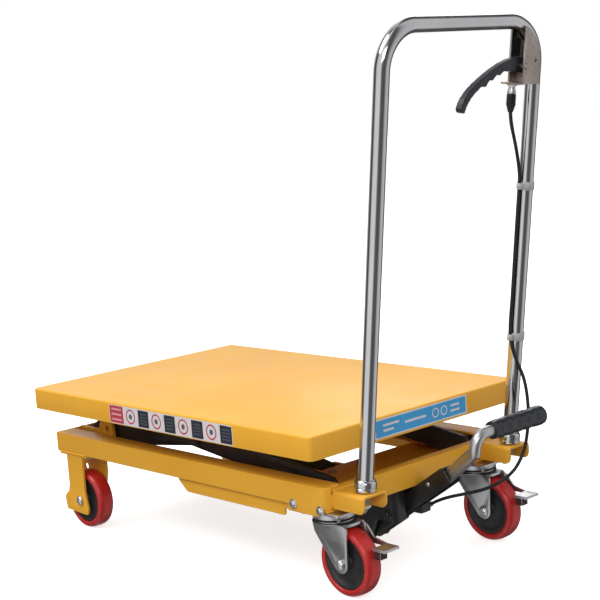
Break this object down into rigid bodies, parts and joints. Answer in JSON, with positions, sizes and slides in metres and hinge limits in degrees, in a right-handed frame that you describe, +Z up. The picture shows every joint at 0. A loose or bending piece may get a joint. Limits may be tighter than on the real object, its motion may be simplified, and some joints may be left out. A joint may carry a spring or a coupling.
{
  "type": "scissor lift table",
  "caption": "Mobile scissor lift table with a steel platform, foot-pumped hydraulic ram, leaning chrome push handle and hand release lever.",
  "frame": {"origin": "on the floor, under the middle of the whole table's footprint", "axes": "+X towards the push handle, +Y towards the release lever side, +Z up"},
  "size_m": [0.8404, 0.45, 0.805],
  "materials": {
    "yellow_paint": "glossy powder coat",
    "black_paint": "satin",
    "chrome": "polished",
    "zinc": "zinc plated, satin",
    "tyre": "red polyurethane, smooth",
    "hub": "moulded",
    "plain_steel": "plain",
    "lever_coat": "satin",
    "rubber": "matt",
    "brass": "plain"
  },
  "bodies": {
    "chassis": {"side_rail_near": "yellow_paint", "side_rail_far": "yellow_paint", "handle_socket_near": "yellow_paint", "handle_socket_far": "yellow_paint", "rail_bracket_near": "yellow_paint", "rail_bracket_far": "yellow_paint", "wheel_bracket_near": "yellow_paint", "wheel_bracket_far": "yellow_paint", "caster_head_near": "zinc", "caster_head_far": "zinc", "rear_cross_member": "yellow_paint", "front_cross_member": "yellow_paint", "fixed_axle_near": "zinc", "fixed_axle_far": "zinc", "pump_mount": "yellow_paint", "pump_body": "black_paint", "handle_tube": "chrome", "handle_collar_near": "chrome", "handle_collar_far": "chrome", "lever_bracket": "plain_steel", "lever_pin": "zinc", "cable_adjuster": "rubber", "release_cable": "rubber"},
    "fixed_wheel_near": {"fixed_tyre_near": "tyre", "fixed_hub_near": "hub"},
    "caster_near": {"caster_fork_near": "zinc", "caster_axle_near": "zinc"},
    "caster_wheel_near": {"caster_tyre_near": "tyre", "caster_hub_near": "hub"},
    "brake_near": {"brake_lever_near": "zinc"},
    "lower_roller_near_body": {"lower_roller_near": "zinc"},
    "upper_roller_near_body": {"upper_roller_near": "zinc"},
    "fixed_wheel_far": {"fixed_tyre_far": "tyre", "fixed_hub_far": "hub"},
    "caster_far": {"caster_fork_far": "zinc", "caster_axle_far": "zinc"},
    "caster_wheel_far": {"caster_tyre_far": "tyre", "caster_hub_far": "hub"},
    "brake_far": {"brake_lever_far": "zinc"},
    "lower_roller_far_body": {"lower_roller_far": "zinc"},
    "upper_roller_far_body": {"upper_roller_far": "zinc"},
    "inner_arms": {"inner_arm_near": "black_paint", "inner_arm_far": "black_paint", "inner_pivot_shaft": "black_paint", "centre_shaft": "black_paint", "inner_cross_tube": "black_paint", "ram_bracket": "black_paint"},
    "outer_arms": {"outer_arm_near": "black_paint", "outer_arm_far": "black_paint", "outer_pivot_shaft": "zinc", "outer_cross_tube": "black_paint"},
    "platform": {"platform_deck": "yellow_paint"},
    "ram_barrel_body": {"ram_barrel": "black_paint"},
    "ram_rod_body": {"ram_rod": "chrome"},
    "pedal": {"pedal_arm": "black_paint", "pedal_bar": "zinc", "pedal_grip": "rubber"},
    "plunger": {"pump_plunger": "chrome"},
    "release_lever": {"hand_lever": "lever_coat"},
    "valve": {"valve_lever": "brass"}
  },
  "joints": [
    {"name": "lift", "type": "hinge", "parent": "chassis", "child": "inner_arms", "pos_m": [-0.3782, 0, 0.1485], "axis": [0, -1, 0], "range_deg": [0, 56.9]},
    {"name": "arms_cross", "type": "hinge", "parent": "inner_arms", "child": "outer_arms", "pos_m": [-0.0747, 0, 0.18625], "axis": [0, -1, 0], "range_deg": [-113.8, 0]},
    {"name": "platform_level", "type": "hinge", "parent": "outer_arms", "child": "platform", "pos_m": [-0.3782, 0, 0.224], "axis": [0, -1, 0], "range_deg": [0, 56.9]},
    {"name": "ram_swing", "type": "hinge", "parent": "chassis", "child": "ram_barrel_body", "pos_m": [0.0698, 0, 0.112], "axis": [0, -1, 0], "range_deg": [-19.2, 0]},
    {"name": "ram_extend", "type": "slide", "parent": "ram_barrel_body", "child": "ram_rod_body", "axis": [-0.9831, 0, 0.1831], "range_m": [0, 0.1455]},
    {"name": "fixed_wheel_near_spin", "type": "hinge", "parent": "chassis", "child": "fixed_wheel_near", "pos_m": [-0.3492, -0.1745, 0.05], "axis": [0, 1, 0], "continuous": true},
    {"name": "caster_near_swivel", "type": "hinge", "parent": "chassis", "child": "caster_near", "pos_m": [0.2458, -0.1569, 0.11], "axis": [0, 0, 1], "continuous": true},
    {"name": "caster_wheel_near_spin", "type": "hinge", "parent": "caster_near", "child": "caster_wheel_near", "pos_m": [0.2738, -0.1569, 0.05], "axis": [0, 1, 0], "continuous": true},
    {"name": "brake_near_press", "type": "hinge", "parent": "caster_near", "child": "brake_near", "pos_m": [0.2818, -0.1569, 0.098], "axis": [0, 1, 0], "range_deg": [0, 4.5]},
    {"name": "fixed_wheel_far_spin", "type": "hinge", "parent": "chassis", "child": "fixed_wheel_far", "pos_m": [-0.3492, 0.1745, 0.05], "axis": [0, 1, 0], "continuous": true},
    {"name": "caster_far_swivel", "type": "hinge", "parent": "chassis", "child": "caster_far", "pos_m": [0.2458, 0.1569, 0.11], "axis": [0, 0, 1], "continuous": true},
    {"name": "caster_wheel_far_spin", "type": "hinge", "parent": "caster_far", "child": "caster_wheel_far", "pos_m": [0.2738, 0.1569, 0.05], "axis": [0, 1, 0], "continuous": true},
    {"name": "brake_far_press", "type": "hinge", "parent": "caster_far", "child": "brake_far", "pos_m": [0.2818, 0.1569, 0.098], "axis": [0, 1, 0], "range_deg": [0, 4.5]},
    {"name": "lower_roller_near_spin", "type": "hinge", "parent": "outer_arms", "child": "lower_roller_near_body", "pos_m": [0.2288, -0.177, 0.1485], "axis": [0, 1, 0], "continuous": true},
    {"name": "upper_roller_near_spin", "type": "hinge", "parent": "inner_arms", "child": "upper_roller_near_body", "pos_m": [0.2288, -0.1455, 0.224], "axis": [0, 1, 0], "continuous": true},
    {"name": "lower_roller_far_spin", "type": "hinge", "parent": "outer_arms", "child": "lower_roller_far_body", "pos_m": [0.2288, 0.177, 0.1485], "axis": [0, 1, 0], "continuous": true},
    {"name": "upper_roller_far_spin", "type": "hinge", "parent": "inner_arms", "child": "upper_roller_far_body", "pos_m": [0.2288, 0.1455, 0.224], "axis": [0, 1, 0], "continuous": true},
    {"name": "pedal_press", "type": "hinge", "parent": "chassis", "child": "pedal", "pos_m": [0.1678, 0, 0.041], "axis": [0, 1, 0], "range_deg": [0, 30], "stiffness_Nm_per_rad": 3, "springref_deg": -51.57},
    {"name": "plunger_stroke", "type": "slide", "parent": "chassis", "child": "plunger", "axis": [0, 0, -1], "range_m": [0, 0.0158]},
    {"name": "lever_squeeze", "type": "hinge", "parent": "chassis", "child": "release_lever", "pos_m": [0.39795, 0.125, 0.73197], "axis": [-0.9895, 0, 0.1444], "range_deg": [0, 18], "stiffness_Nm_per_rad": 1.2, "springref_deg": -20.05},
    {"name": "valve_turn", "type": "hinge", "parent": "chassis", "child": "valve", "pos_m": [0.2178, 0.0445, 0.092], "axis": [0, -1, 0], "range_deg": [0, 10.1]}
  ],
  "couplings": [
    {"joint": "arms_cross", "follows": "lift", "ratio": -2},
    {"joint": "platform_level", "follows": "lift", "ratio": 1},
    {"joint": "ram_swing", "follows": "lift", "ratio": -0.33679},
    {"joint": "ram_extend", "follows": "lift", "m_per_rad": 0.14609},
    {"joint": "plunger_stroke", "follows": "pedal_press", "m_per_rad": 0.03},
    {"joint": "valve_turn", "follows": "lever_squeeze", "ratio": 0.5556}
  ]
}
